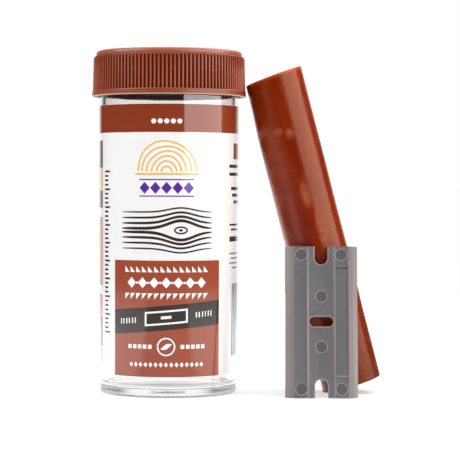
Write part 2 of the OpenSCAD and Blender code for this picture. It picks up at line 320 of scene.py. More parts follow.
vial_profile = rounded_profile([
    (0, PUNT - 0.1),
    (0.7, PUNT - 0.1, 0.25),
    (0.9, PUNT + GATE_DEPTH, 0.15),
    (GATE_R, PUNT + GATE_DEPTH, 0.08),
    (GATE_R + 0.1, PUNT, 0.1),
    (ring_r - 0.5, PUNT, 0.3),
    (ring_r, 0, 0.15),
    (base_r, 0, FOOT_R),
    (SHOULDER_R, shoulder_z - SHOULDER_EASE, 0.3),
    (neck_r, shoulder_z, 0.3),
    (neck_r, LIP_Z, 0.2),
    (bore_top_r, LIP_Z, 0.2),
    (base_r - WALL, FLOOR_T, 1.4),
    (0, FLOOR_T),
])

polystyrene, tree = empty_material("clear_moulded_polystyrene")
# Crystal polystyrene has an index of 1.59 and a polished mould's gloss, with flow lines that
# ripple it faintly over a few millimetres, a haze of fine rub marks, and a duller foot, where
# the mould was sanded and the vial slides on tables
spot = add_node(tree, "ShaderNodeTexCoord")
ripple = add_node(tree, "ShaderNodeTexNoise", {"Scale": 160, "Detail": 2}, {"Vector": spot.outputs["Object"]})
rub = add_node(tree, "ShaderNodeTexNoise", {"Scale": 900, "Detail": 4}, {"Vector": spot.outputs["Object"]})
haze = add_node(tree, "ShaderNodeMapRange", {
    "From Min": 0.5, "From Max": 0.8, "To Min": 0.005, "To Max": 0.06}, {"Value": rub.outputs["Fac"]})
axes = add_node(tree, "ShaderNodeSeparateXYZ", links={0: spot.outputs["Object"]})
sanded = add_node(tree, "ShaderNodeMapRange", {
    "From Min": 1.5 * MM, "From Max": 4 * MM, "To Min": FOOT_ROUGH, "To Max": 0.0}, {
    "Value": axes.outputs["Z"]})
haze = add_node(tree, "ShaderNodeMath", operation="ADD", links={0: haze.outputs[0], 1: sanded.outputs[0]})
wave = add_node(tree, "ShaderNodeBump", {"Strength": 0.12, "Distance": 0.2 * MM}, {
    "Height": ripple.outputs["Fac"]})
clear = add_node(tree, "ShaderNodeBsdfPrincipled", {
    "Base Color": linear("#FCFAFA"), "IOR": 1.59, "Transmission Weight": 1.0}, {
    "Roughness": haze.outputs[0], "Normal": wave.outputs[0]})
add_node(tree, "ShaderNodeOutputMaterial", links={"Surface": clear.outputs[0]})

vial = add_piece("vial_shell", *lattice(lathe(vial_profile)), polystyrene, "vial", "clear_polystyrene", 30)
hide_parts("vial")

ground, tree = empty_material("ground_foot_polystyrene")
# The standing ring and the gate disc were left matt by the mould and ground by use, so they
# scatter half of the light that the clear wall would pass, in scratches of a few tenths of a mm
spot = add_node(tree, "ShaderNodeTexCoord")
scratch = add_node(tree, "ShaderNodeTexNoise", {"Scale": 2400, "Detail": 4}, {
    "Vector": spot.outputs["Object"]})
matt = add_node(tree, "ShaderNodeMapRange", {"To Min": FOOT_ROUGH, "To Max": FOOT_ROUGH + 0.05}, {
    "Value": scratch.outputs["Fac"]})
frost = add_node(tree, "ShaderNodeBsdfPrincipled", {
    "Base Color": linear("#FCFAFA"), "IOR": 1.59, "Transmission Weight": FOOT_CLEAR}, {
    "Roughness": matt.outputs[0]})
add_node(tree, "ShaderNodeOutputMaterial", links={"Surface": frost.outputs[0]})
# The ground faces lie low down, on the gate disc or beyond the standing ring's inner edge
vial.data.materials.append(ground)
face_middle = np.zeros(len(vial.data.polygons) * 3)
vial.data.polygons.foreach_get("center", face_middle)
face_middle = face_middle.reshape(-1, 3) / MM
face_r = np.hypot(face_middle[:, 0], face_middle[:, 1])
is_ground = (face_middle[:, 2] < GROUND_H) & ((face_r < GATE_R + 0.2) | (face_r > ring_r))
vial.data.polygons.foreach_set("material_index", is_ground.astype(np.int32))


# Threads
# The neck and the cap each carry one moulded ridge of right-hand thread, 6 turns to the inch.
# The cap's ridge runs half a pitch above the neck's, so neither touches as the cap unscrews.
PITCH = 25.4 / 6
RIDGE_W = 1.5
RIDGE_H = 0.85
THREAD_TURNS = 1.25
THREAD_START = 0.9


def thread_ridge(root_r, rise, first_z, turns=THREAD_TURNS):
    """Ridge that stands rise out of a wall of radius root_r along a helix: height is first_z plus
    the pitch times the turn. Its section is a trapezoid, and both ends run out into the wall."""
    turn = np.linspace(0, turns, int(turns * 120))
    run_out = np.clip(np.minimum(turn, turns - turn) / 0.08, 0.02, 1)
    run_out = np.sin(run_out * np.pi / 2)
    out = np.array([-0.08, 0, 0.75, 1, 1, 0.75, 0, -0.08]) * rise
    up = np.array([-0.5, -0.5, -0.25, -0.14, 0.14, 0.25, 0.5, 0.5]) * RIDGE_W
    radius = root_r + np.where(out[:, None] * rise > 0, out[:, None] * run_out, out[:, None])
    height = first_z + up[:, None] * (0.4 + 0.6 * run_out) + PITCH * turn
    angle = 2 * np.pi * turn
    return np.stack([radius * np.cos(angle), radius * np.sin(angle), height], -1)


add_piece(
    "neck_thread", *lattice(thread_ridge(neck_r, RIDGE_H, shoulder_z + THREAD_START), "loop", "caps"),
    polystyrene, "vial", "clear_polystyrene", 50)


# Label
# A printed film wrapped once round the body and lapped at the back, white under a gloss
# laminate. The inks lie on it as films of their own, each cut to its printed outline.
LABEL_Z0 = label_low.z / MM
LABEL_Z1 = label_high.z / MM
FILM_T = 0.1
FILM_GAP = 0.01
LAP = 6.0
INK_T = 0.006
body_slope = DRAFT / (shoulder_z - SHOULDER_EASE - FOOT_R)
print_r = SHOULDER_R - DRAFT / 2


def wrap(along, up, out):
    """Points on the body: along is the arc in mm from the front, up the height, and out the
    distance from the wall. The angle is the arc over the body's mean radius. Past half a turn the
    film climbs by its own thickness, along a smoothstep, and laps over its start."""
    climb = np.clip((along - np.pi * print_r + 0.8) / 0.8, 0, 1)
    climb = FILM_T * climb**2 * (3 - 2 * climb)
    radius = base_r + body_slope * (up - FOOT_R) + out + climb
    angle = along / print_r
    return np.stack([radius * np.sin(angle), -radius * np.cos(angle), up + 0 * angle], -1)


film_arc = np.linspace(-np.pi * print_r, np.pi * print_r + LAP, 420)
film_grid = np.stack([
    wrap(film_arc, np.full_like(film_arc, z), FILM_GAP + t)
    for z, t in ((LABEL_Z0, 0), (LABEL_Z1, 0), (LABEL_Z1, FILM_T), (LABEL_Z0, FILM_T))
])

laminate, tree = empty_material("gloss_laminated_film")
# White polypropylene film under a clear gloss laminate: an even white with a mirror-like but
# slightly pebbled skin, whose pebbles are a millimetre or so across. It lets daylight through,
# which keeps the inside of the vial bright behind it
spot = add_node(tree, "ShaderNodeTexCoord")
pebble = add_node(tree, "ShaderNodeTexNoise", {"Scale": 700, "Detail": 2}, {"Vector": spot.outputs["Object"]})
skin = add_node(tree, "ShaderNodeBump", {"Strength": 0.1, "Distance": 0.02 * MM}, {
    "Height": pebble.outputs["Fac"]})
cloud = add_node(tree, "ShaderNodeTexNoise", {"Scale": 60, "Detail": 3}, {"Vector": spot.outputs["Object"]})
shade = add_node(tree, "ShaderNodeMix", {
    "A": linear("#F7F7F6"), "B": linear("#FBFBFB")}, {"Factor": cloud.outputs["Fac"]}, data_type="RGBA")
film = add_node(tree, "ShaderNodeBsdfPrincipled", {
    "Roughness": 0.08, "IOR": 1.6, "Subsurface Weight": 0.4, "Subsurface Radius": (1, 1, 1),
    "Subsurface Scale": 0.2 * MM}, {"Base Color": shade.outputs[2], "Normal": skin.outputs[0]})
add_node(tree, "ShaderNodeOutputMaterial", links={"Surface": film.outputs[0]})

label = add_piece("label_film", *lattice(film_grid, "loop", "caps"), laminate, "vial", "printed_film")
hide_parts("label")

# Print
# Brown for the top band and the front panel, charcoal for the slanted band, and gold, purple,
# dark and white for plain ornaments: growth rings, lozenges, wood grain, rules and chips.
BROWN = "#8A3A20"
PANEL = "#9C4A31"
CHARCOAL = "#2E211D"
GOLD = "#EDBE55"
PURPLE = "#5C2D9E"
DARK = "#3E302C"
WHITE = "#FAFAFA"
GREY = "#8B8787"
ink_points = []
ink_faces = []
ink_colours = []


def ink(edge_a, edge_b, colour, level, closed=False):
    """A film of ink ruled between two edges of points (along, up), level films above the white."""
    low = FILM_GAP + FILM_T + INK_T * (level - 0.5)
    grid = np.stack([
        wrap(edge[:, 0], edge[:, 1], out)
        for edge, out in ((edge_a, low), (edge_b, low), (edge_b, low + INK_T), (edge_a, low + INK_T))
    ])
    points, faces = lattice(grid, "loop", "loop" if closed else "caps")
    start = sum(len(p) for p in ink_points)
    ink_points.append(points)
    ink_faces.extend([[k + start for k in f] for f in faces])
    ink_colours.append(np.tile(linear(colour), (len(points), 1)))


def bar(left, right, low, high, colour, level=2, slope=0.0):
    """An upright-sided bar whose low and high edges both rise by slope per mm to the right."""
    along = np.linspace(left, right, max(2, int((right - left) / 0.4)))
    rise = slope * (along - left)
    ink(np.stack([along, low + rise], 1), np.stack([along, high + rise], 1), colour, level)


def ring(along, up, across, tall, stroke, colour, level=2, start=0.0, end=360.0, wobble=0.0):
    """An elliptical line of radii across and tall; wobble swells it by that share three times."""
    full = end - start >= 360
    angle = np.radians(np.linspace(start, end, 97)[: -1 if full else None])
    swell = 1 + wobble * np.sin(3 * angle + across)
    sides = [
        np.stack([along + (across * swell + k) * np.cos(angle), up + (tall * swell + k) * np.sin(angle)], 1)
        for k in (-stroke / 2, stroke / 2)
    ]
    ink(sides[0], sides[1], colour, level, closed=full)


def disc(along, up, radius, colour, level=2, squash=1.0):
    """A filled ellipse: its half height is squash times the root of radius squared less reach
    squared."""
    reach = radius * np.sin(np.linspace(-1.5, 1.5, 19))
    half = squash * np.sqrt(radius**2 - reach**2)
    ink(np.stack([along + reach, up - half], 1), np.stack([along + reach, up + half], 1), colour, level)


def lozenge(along, up, half_width, half_height, colour, level=2):
    """A rhombus: its half height falls off evenly to both sides."""
    reach = np.linspace(-half_width, half_width, 5)
    half = half_height * (1 - np.abs(reach) / half_width) + 0.01
    ink(np.stack([along + reach, up - half], 1), np.stack([along + reach, up + half], 1), colour, level)


def wedge(left, low, width, height, colour, level=2):
    """A triangle that stands on its base, or hangs from it if the height is negative: its height
    falls off evenly from the left."""
    reach = np.linspace(0, width, 4)
    tall = height * (1 - reach / width) + 0.02 * np.sign(height)
    sides = [np.stack([left + reach, low + 0 * reach], 1), np.stack([left + reach, low + tall], 1)]
    ink(*(sides if height > 0 else sides[::-1]), colour, level)


BAND_Z = 65.88
BAND_MIDDLE = 68.6
PANEL_W = 29.1
PANEL_TOP = 34.1
SLOPE = 0.088
bar(LAP + 0.05 - np.pi * print_r, np.pi * print_r + LAP - 0.05, BAND_Z, LABEL_Z1 - 0.05, BROWN, 1)
bar(-PANEL_W / 2, PANEL_W / 2, LABEL_Z0 + 0.05, PANEL_TOP, PANEL, 1)
bar(-PANEL_W / 2, PANEL_W / 2, 15.6, 21.7, CHARCOAL, 2, slope=SLOPE)

# A short row of beads in the middle of the top band
BEAD_R = 0.62
BEAD_STEP = 1.6
for k in range(-2, 3):
    disc(BEAD_STEP * k, BAND_MIDDLE, BEAD_R, WHITE)

# Growth rings of half a log, on its cut face
RINGS_Z = 56.0
for across in np.linspace(1.3, 7.3, 6):
    ring(0, RINGS_Z, across, across * 1.06, 0.42, GOLD, 1, 2, 178, wobble=0.025)
bar(-8.0, 8.0, RINGS_Z - 0.75, RINGS_Z - 0.25, GOLD, 1)

# A strip of lozenge inlay between two stringing lines
INLAY_Z = 52.1
INLAY_STEP = 2.76
for up in (-2.2, 1.9):
    bar(-6.9, 6.9, INLAY_Z + up, INLAY_Z + up + 0.3, PURPLE, 1)
for k in range(-2, 3):
    lozenge(INLAY_STEP * k, INLAY_Z, 1.3, 1.5, PURPLE, 1)

# Wood grain that parts round a knot
KNOT = (3.6, 41.6)
grain_along = np.linspace(-12, 12, 80)
swell = np.exp(-(((grain_along - KNOT[0]) / 4.4) ** 2))
for step, offset in enumerate((0.45, 1.75, 3.1, 4.5)):
    for side in (-1, 1):
        middle = KNOT[1] + side * (offset + (1.95 - 0.3 * step) * swell)
        thick = (0.78 - 0.12 * step) * np.sqrt(1 - (grain_along / 12.2) ** 4)
        ink(np.stack([grain_along, middle - thick / 2], 1),
            np.stack([grain_along, middle + thick / 2], 1), DARK, 1)
ring(*KNOT, 1.55, 0.8, 0.42, DARK, 1)
disc(*KNOT, 0.5, DARK, 1, squash=0.6)

# A wide banding of inlay on the panel: large lozenges between two rows of saw teeth
BANDING_Z = 28.6
TOOTH_STEP = 1.58
for k in range(14):
    wedge(TOOTH_STEP * k - 10.9, BANDING_Z + 2.6, 1.25, 1.5, WHITE)
    wedge(TOOTH_STEP * k - 10.9, BANDING_Z - 2.6, 1.25, -1.5, WHITE)
for k in range(7):
    lozenge(3.0 * k - 9.0, BANDING_Z, 1.2, 1.35, WHITE)
for k in range(6):
    disc(3.0 * k - 7.5, BANDING_Z, 0.3, WHITE)

# The outline of a blade on the slanted band, with a row of blocks on each side
BLADE_Z = 18.75
BLADE_W = 10.8
BLADE_H = 3.5
OUTLINE = 0.45
for left in (-12.3, -10.6, -8.9, 7.5, 9.2, 10.9):
    up = BLADE_Z - 0.75 + SLOPE * (left + PANEL_W / 2)
    bar(left, left + 1.1, up, up + 1.35, WHITE, 3, slope=SLOPE)
for low in (-BLADE_H / 2, BLADE_H / 2 - OUTLINE):
    up = BLADE_Z + low + SLOPE * (PANEL_W - BLADE_W) / 2
    bar(-BLADE_W / 2, BLADE_W / 2, up, up + OUTLINE, WHITE, 3, slope=SLOPE)
for left in (-BLADE_W / 2, BLADE_W / 2 - OUTLINE):
    up = BLADE_Z + SLOPE * (left + PANEL_W / 2)
    bar(left, left + OUTLINE, up - BLADE_H / 2, up + BLADE_H / 2, WHITE, 3, slope=SLOPE)
slot_low = BLADE_Z - 0.35 + SLOPE * (PANEL_W / 2 - 1.3)
bar(-1.3, 1.3, slot_low, slot_low + 0.7, WHITE, 3, slope=SLOPE)

# A ringed leaf between two rows of blocks, and a finer row of lozenges below it
LEAF = (0.0, 12.75)
ring(*LEAF, 2.1, 2.1, 0.36, WHITE)
leaf_along = np.linspace(-1.4, 1.4, 21)
leaf_half = 0.62 * np.cos(leaf_along / 1.4 * np.pi / 2) + 0.01
ink(np.stack([LEAF[0] + leaf_along, LEAF[1] + 0.45 * leaf_along - leaf_half], 1),
    np.stack([LEAF[0] + leaf_along, LEAF[1] + 0.45 * leaf_along + leaf_half], 1), WHITE, 2)
BLOCK_STEP = 1.35
BLOCK_W = 0.95
FINE_Z = 8.3
FINE_STEP = 1.3
for k in range(5):
    for left in (3.6 + BLOCK_STEP * k, -3.6 - BLOCK_W - BLOCK_STEP * k):
        bar(left, left + BLOCK_W, LEAF[1] - 0.5, LEAF[1] + 0.5, WHITE)
for k in range(-7, 8):
    lozenge(FINE_STEP * k, FINE_Z, 0.5, 0.65, WHITE)

# A plain scale of ticks up the left side, with a column of colour chips beyond it
TICK_X = -19.3
TICK_Z = 15.6
TICK_STEP = 1.12
TICK_T = 0.48
CHIPS_X = (-28.0, -20.95)
for k in range(37):
    reach = 2.6 if k % 4 == 0 else 1.8
    up = TICK_Z + TICK_STEP * k
    bar(TICK_X, TICK_X + reach, up, up + TICK_T, DARK, 1)
for low, high, colour in (
    (57.1, 64.0, "#5E4E45"), (51.5, 57.0, "#E8C994"), (47.0, 51.4, "#776A60"),
    (27.4, 44.7, "#D9A79C"), (19.6, 25.1, "#E58A80"), (11.9, 19.5, "#84707E"), (7.8, 11.8, "#D8A5A3"),
):
    bar(*CHIPS_X, low, high, colour, 1)

# Rules and plain bars on the right side, and a grille of upright stripes below them
RULES_END = 33.0
STRIPE = "#5C5460"
STRIPE_STEP = 1.05
STRIPE_W = 0.62
bar(21.0, RULES_END, 59.4, 63.4, BROWN, 1)
for up, left, thick in (
    (57.2, 18.6, 0.8), (55.2, 18.6, 0.8), (51.6, 19.6, 0.8), (49.9, 20.3, 0.8), (48.2, 21.2, 0.8),
    (42.6, 18.8, 0.5), (41.4, 19.6, 0.5), (38.6, 18.9, 1.3), (35.4, 18.9, 0.4), (34.2, 19.5, 0.4),
    (33.0, 18.9, 0.4), (31.8, 20.2, 0.4),
):
    bar(left, RULES_END, up, up + thick, DARK if up > 38 else GREY, 1)
for left in np.arange(20.4, RULES_END, STRIPE_STEP):
    bar(left, left + STRIPE_W, 9.8, 28.0, STRIPE, 1)

printed, tree = empty_material("printed_ink_under_laminate")
# Flexo inks under the same laminate: flat colours with a faint mottle, as glossy as the white
spot = add_node(tree, "ShaderNodeTexCoord")
pebble = add_node(tree, "ShaderNodeTexNoise", {"Scale": 700, "Detail": 2}, {"Vector": spot.outputs["Object"]})
skin = add_node(tree, "ShaderNodeBump", {"Strength": 0.1, "Distance": 0.02 * MM}, {
    "Height": pebble.outputs["Fac"]})
mottle = add_node(tree, "ShaderNodeTexNoise", {"Scale": 1500, "Detail": 3}, {
    "Vector": spot.outputs["Object"]})
dose = add_node(tree, "ShaderNodeMapRange", {"To Min": 0.94, "To Max": 1.04}, {
    "Value": mottle.outputs["Fac"]})
colour = add_node(tree, "ShaderNodeAttribute", attribute_name="ink")
tint = add_node(tree, "ShaderNodeVectorMath", operation="SCALE", links={
    0: colour.outputs["Color"], "Scale": dose.outputs[0]})
gloss = add_node(tree, "ShaderNodeBsdfPrincipled", {"Roughness": 0.08, "IOR": 1.6}, {
    "Base Color": tint.outputs[0], "Normal": skin.outputs[0]})
add_node(tree, "ShaderNodeOutputMaterial", links={"Surface": gloss.outputs[0]})

label_print = add_piece(
    "label_print", np.concatenate(ink_points), ink_faces, printed, "vial", "printed_film")
ink_layer = label_print.data.attributes.new("ink", "FLOAT_COLOR", "POINT")
ink_layer.data.foreach_set("color", np.concatenate(ink_colours).astype(np.float32).ravel())


# Cap
# Brown polypropylene, injection moulded: a plain band at the mouth, 120 grip ribs that taper
# upwards and end in a chamfer, and a slightly smaller top plate behind a fine groove.
CAP_TOP = cap_high.z / MM
# The mouth hangs this far below the node's
MOUTH_LOW = 0.25
CAP_BASE = cap_low.z / MM - MOUTH_LOW
BAND_R = cap_high.x / MM
BAND_H = 1.3 + MOUTH_LOW
RIBS = 120
RIB_SAMPLES = 10
RIB_R = BAND_R - 0.18
RIB_DEPTH = 0.46
RIB_DRAFT = 0.2
CREST_FROM = 0.28
CREST_SPAN = 0.66
PLATE_H = 1.3
PLATE_R = RIB_R - RIB_DEPTH - 0.4
CAP_BORE = 18.3
CAP_RIDGE_H = 0.75
CAP_THREAD_TURNS = 0.95
LINER_T = 1.0
PLATE_PAINTED_LIGHT = 1.04
PLATE_SHINE = 1.35
PLATE_PAINTED_SHEEN = 0.07
BAND_PAINTED_SHADE = 0.78
MOUTH_ROUND = 0.22
MOUTH_HIGHLIGHT_TOP = 0.2
band_top = CAP_BASE + BAND_H
ribs_top = CAP_TOP - PLATE_H
groove_r = RIB_R - RIB_DEPTH
under_z = LIP_Z + LINER_T


def cap_grid():
    """Surface of the cap. Over the ribbed height the radius is the groove's plus the rib's depth
    times a raised cosine of the angle, flattened at the crest, and no more than an envelope that
    narrows with the draft and ends in a quarter round."""
    plate = rounded_profile([
        (0, CAP_TOP), (PLATE_R, CAP_TOP, 0.7), (PLATE_R, ribs_top + 0.2, 0.08),
        (PLATE_R - 0.15, ribs_top + 0.05, 0.06), (PLATE_R - 0.02, ribs_top - 0.04)], 5)
    mouth = rounded_profile([
        (RIB_R - 0.05, band_top), (BAND_R, band_top, 0.3), (BAND_R, CAP_BASE, MOUTH_ROUND),
        (CAP_BORE + 0.1, CAP_BASE, 0.15), (CAP_BORE, CAP_BASE + 0.5, 0.3), (CAP_BORE, under_z, 0.25),
        (0, under_z)], 4)
    angle = np.arange(RIBS * RIB_SAMPLES) * 2 * np.pi / (RIBS * RIB_SAMPLES)
    wave = 0.5 + 0.5 * np.cos(RIBS * angle)
    crest = np.clip((wave - CREST_FROM) / CREST_SPAN, 0, 1)
    crest = crest * crest * (3 - 2 * crest)
    rise = np.concatenate([1 - np.cos(np.linspace(0, np.pi / 2, 6)), np.linspace(1, 10, 7)[1:]]) / 10
    height = ribs_top - (ribs_top - band_top) * rise
    share = (ribs_top - height) / (ribs_top - band_top)
    envelope = RIB_R - RIB_DRAFT * (1 - share)
    round_off = np.clip(1 - (ribs_top - height) / 0.7, 0, 1)
    envelope -= 0.75 * (1 - np.sqrt(1 - round_off**2))
    core = groove_r - 0.28 * (1 - np.sqrt(1 - round_off**2))
    ribbed = np.minimum(core[:, None] + (RIB_DEPTH + 0.05) * crest, envelope[:, None])
    ribbed = np.maximum(ribbed, core[:, None])
    radius = np.concatenate([
        np.repeat(plate[:, :1], angle.size, 1), ribbed, np.repeat(mouth[:, :1], angle.size, 1)])
    level = np.concatenate([plate[:, 1], height, mouth[:, 1]])[:, None] + 0 * angle
    return np.stack([radius * np.cos(angle), radius * np.sin(angle), level], -1)


polypropylene, tree = empty_material("moulded_polypropylene")
# Pigmented polypropylene from a lightly sanded mould: a waxy satin skin that lets a little light
# in, with a grain of 0.15 mm and faint clouds of pigment. Handling leaves the crests glossier.
# Painted shade makes the grooves deep red-brown and darkens the band; painted light brightens the
# top plate, with a painted sheen, and a narrow painted highlight runs along the edge of the mouth
spot = add_node(tree, "ShaderNodeTexCoord")
grain = add_node(tree, "ShaderNodeTexNoise", {"Scale": 6000, "Detail": 2}, {"Vector": spot.outputs["Object"]})
cloud = add_node(tree, "ShaderNodeTexNoise", {"Scale": 90, "Detail": 4}, {"Vector": spot.outputs["Object"]})
axes = add_node(tree, "ShaderNodeVectorMath", {1: (1, 1, 0)}, {
    0: spot.outputs["Object"]}, operation="MULTIPLY")
reach = add_node(tree, "ShaderNodeVectorMath", operation="LENGTH", links={0: axes.outputs[0]})
crests = add_node(tree, "ShaderNodeMapRange", {
    "From Min": groove_r * MM, "From Max": (RIB_R - 0.12) * MM}, {"Value": reach.outputs["Value"]})
smooth = add_node(tree, "ShaderNodeMath", {1: (groove_r - 0.05) * MM}, {
    0: reach.outputs["Value"]}, operation="LESS_THAN")
crest_polish_and_groove_shade = add_node(tree, "ShaderNodeMath", operation="MAXIMUM", links={
    0: crests.outputs[0], 1: smooth.outputs[0]})
clouded = add_node(tree, "ShaderNodeMix", {
    "A": linear("#97431F"), "B": linear("#A54F2B")}, {"Factor": cloud.outputs["Fac"]}, data_type="RGBA")
high = add_node(tree, "ShaderNodeSeparateXYZ", links={0: spot.outputs["Object"]})
# Painted light and shade: the top plate is made a little lighter and the band at the mouth darker
painted_plate_light = add_node(tree, "ShaderNodeMapRange", {
    "From Min": ribs_top * MM, "From Max": (ribs_top + 0.2) * MM, "To Min": 1.0, "To Max": PLATE_PAINTED_LIGHT}, {
    "Value": high.outputs["Z"]})
painted_band_shade = add_node(tree, "ShaderNodeMapRange", {
    "From Min": (band_top - 0.2) * MM, "From Max": band_top * MM, "To Min": BAND_PAINTED_SHADE, "To Max": 1.0}, {
    "Value": high.outputs["Z"]})
painted_plate_and_band_light = add_node(tree, "ShaderNodeMath", operation="MULTIPLY", links={
    0: painted_plate_light.outputs[0], 1: painted_band_shade.outputs[0]})
worn = add_node(tree, "ShaderNodeVectorMath", operation="SCALE", links={
    0: clouded.outputs[2], "Scale": painted_plate_and_band_light.outputs[0]})
# Painted shade: the grooves between the ribs are mixed towards a deep red-brown
shade = add_node(tree, "ShaderNodeMix", {"A": linear("#541301")}, {
    "Factor": crest_polish_and_groove_shade.outputs[0], "B": worn.outputs[0]}, data_type="RGBA")
# Painted highlight: a narrow line along the bottom edge of the mouth, outside the ribs, is mixed towards a
# light pinkish brown
mouth_highlight_height = add_node(tree, "ShaderNodeMapRange", {
    "From Min": (CAP_BASE + MOUTH_HIGHLIGHT_TOP) * MM, "From Max": (CAP_BASE + MOUTH_HIGHLIGHT_TOP + 0.06) * MM,
    "To Min": 1.0, "To Max": 0.0}, {"Value": high.outputs["Z"]})
outside = add_node(tree, "ShaderNodeMath", {1: (RIB_R - 0.3) * MM}, {
    0: reach.outputs["Value"]}, operation="GREATER_THAN")
painted_mouth_highlight = add_node(tree, "ShaderNodeMath", operation="MULTIPLY", links={
    0: mouth_highlight_height.outputs[0], 1: outside.outputs[0]})
shade = add_node(tree, "ShaderNodeMix", {"B": linear("#C6A697")}, {
    "Factor": painted_mouth_highlight.outputs[0], "A": shade.outputs[2]}, data_type="RGBA")
satin = add_node(tree, "ShaderNodeMapRange", {"To Min": 0.65, "To Max": 0.36}, {"Value": crest_polish_and_groove_shade.outputs[0]})
sheen = add_node(tree, "ShaderNodeMapRange", {"To Min": 0.15, "To Max": 0.58}, {"Value": crest_polish_and_groove_shade.outputs[0]})
on_plate = add_node(tree, "ShaderNodeMapRange", {
    "From Min": ribs_top * MM, "From Max": (ribs_top + 0.2) * MM}, {"Value": high.outputs["Z"]})
shine = add_node(tree, "ShaderNodeMapRange", {"To Min": 1.0, "To Max": PLATE_SHINE}, {
    "Value": on_plate.outputs[0]})
sheen = add_node(tree, "ShaderNodeMath", operation="MULTIPLY", links={
    0: sheen.outputs[0], 1: shine.outputs[0]})
# Painted sheen: the top plate's colour is mixed a little towards a light greyish pink
painted_plate_sheen = add_node(tree, "ShaderNodeMath", {1: PLATE_PAINTED_SHEEN}, {0: on_plate.outputs[0]}, operation="MULTIPLY")
shade = add_node(tree, "ShaderNodeMix", {"B": linear("#D0B5AB")}, {
    "Factor": painted_plate_sheen.outputs[0], "A": shade.outputs[2]}, data_type="RGBA")
skin = add_node(tree, "ShaderNodeBump", {"Strength": 0.25, "Distance": 0.01 * MM}, {
    "Height": grain.outputs["Fac"]})
pp = add_node(tree, "ShaderNodeBsdfPrincipled", {
    "IOR": 1.49, "Subsurface Weight": 0.12, "Subsurface Scale": 0.6 * MM},
    {"Base Color": shade.outputs[2], "Roughness": satin.outputs[0], "Normal": skin.outputs[0],
     "Specular IOR Level": sheen.outputs[0]})
add_node(tree, "ShaderNodeOutputMaterial", links={"Surface": pp.outputs[0]})

cap = add_piece("screw_cap", *lattice(cap_grid()), polypropylene, "cap", "brown_polypropylene", 55)
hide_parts("cap")
add_piece(
    "cap_thread", *lattice(thread_ridge(
        CAP_BORE, -CAP_RIDGE_H, shoulder_z + THREAD_START + PITCH / 2, CAP_THREAD_TURNS), "loop", "caps"),
    polypropylene, "cap", "brown_polypropylene", 50)


# Cap liner
# A disc of white polyethylene foam pressed into the top of the cap, which seals on the lip.
LINER_R = 17.9
liner_profile = rounded_profile([
    (0, LIP_Z), (LINER_R, LIP_Z, 0.2), (LINER_R, LIP_Z + LINER_T, 0.1), (0, LIP_Z + LINER_T)])

foam, tree = empty_material("polyethylene_foam")
# Closed-cell foam: matt and a little warm, with cells about 0.3 mm across that pit its skin
spot = add_node(tree, "ShaderNodeTexCoord")
cells = add_node(tree, "ShaderNodeTexVoronoi", {"Scale": 3200}, {"Vector": spot.outputs["Object"]})
pits = add_node(tree, "ShaderNodeBump", {"Strength": 0.5, "Distance": 0.05 * MM}, {
    "Height": cells.outputs["Distance"]})
shade = add_node(tree, "ShaderNodeMix", {
    "A": linear("#D9D8D2"), "B": linear("#F0EFEA")}, {"Factor": cells.outputs["Distance"]}, data_type="RGBA")
soft = add_node(tree, "ShaderNodeBsdfPrincipled", {"Roughness": 0.75}, {
    "Base Color": shade.outputs[2], "Normal": pits.outputs[0]})
add_node(tree, "ShaderNodeOutputMaterial", links={"Surface": soft.outputs[0]})

liner = add_piece("liner_disc", *lattice(lathe(liner_profile, 128)), foam, "liner", "liner_foam")
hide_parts("cap_liner")


# Wax stick
# Hard filler wax cast in a tube and pushed out: straight, a little out of round, glossy where
# the tube touched it, with drag marks along it, smears from fingers, and a thin flash at its foot.
stick_low, stick_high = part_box("wax_stick")
STICK_LEN = 80.8
STICK_LEAN = math.radians(14.6)
STICK_CUT = math.radians(5.8)
STICK_RIM = 0.2
TOP_RIM = 0.06
stick_r = (stick_high.y - stick_low.y) / 2 / MM
stick_axis = np.array([-math.sin(STICK_LEAN), 0, math.cos(STICK_LEAN)])
stick_side = np.array([math.cos(STICK_LEAN), 0, math.sin(STICK_LEAN)])
# The foot's middle, from the node's right side, where its rounded rim stands on the floor
stick_foot = np.array([stick_high.x / MM - STICK_RIM, 0, STICK_RIM])
stick_foot -= (stick_r - STICK_RIM) * stick_side * [1, 1, -1] + STICK_RIM * stick_axis

# Scuffs on the front: across and along the stick from its foot, half width and half length
SCUFFS = ((-2.9, 67.3, 1.7, 1.2), (0.0, 66.2, 1.3, 1.7), (0.0, 50.4, 1.4, 4.2), (1.5, 41.0, 0.9, 6.5))
SCUFF_DEPTH = 6.0
SCUFF_SHARE = 0.8
PAINTED_RIM_GLOW = 1.25
FOOT_CUT = math.radians(2.5)
TOP_BULGE = 0.12
SIDE_BULGE = 0.34
BULGE_END = 76
BULGE_FADE = 12
TOP_TAPER = 0.16
FLASH = 0.3
DISH = 0.1
FOOT_PAINTED_SHADE = 0.6
FOOT_SHADE_SPAN = (6, 42)
GLEAM = 0.62


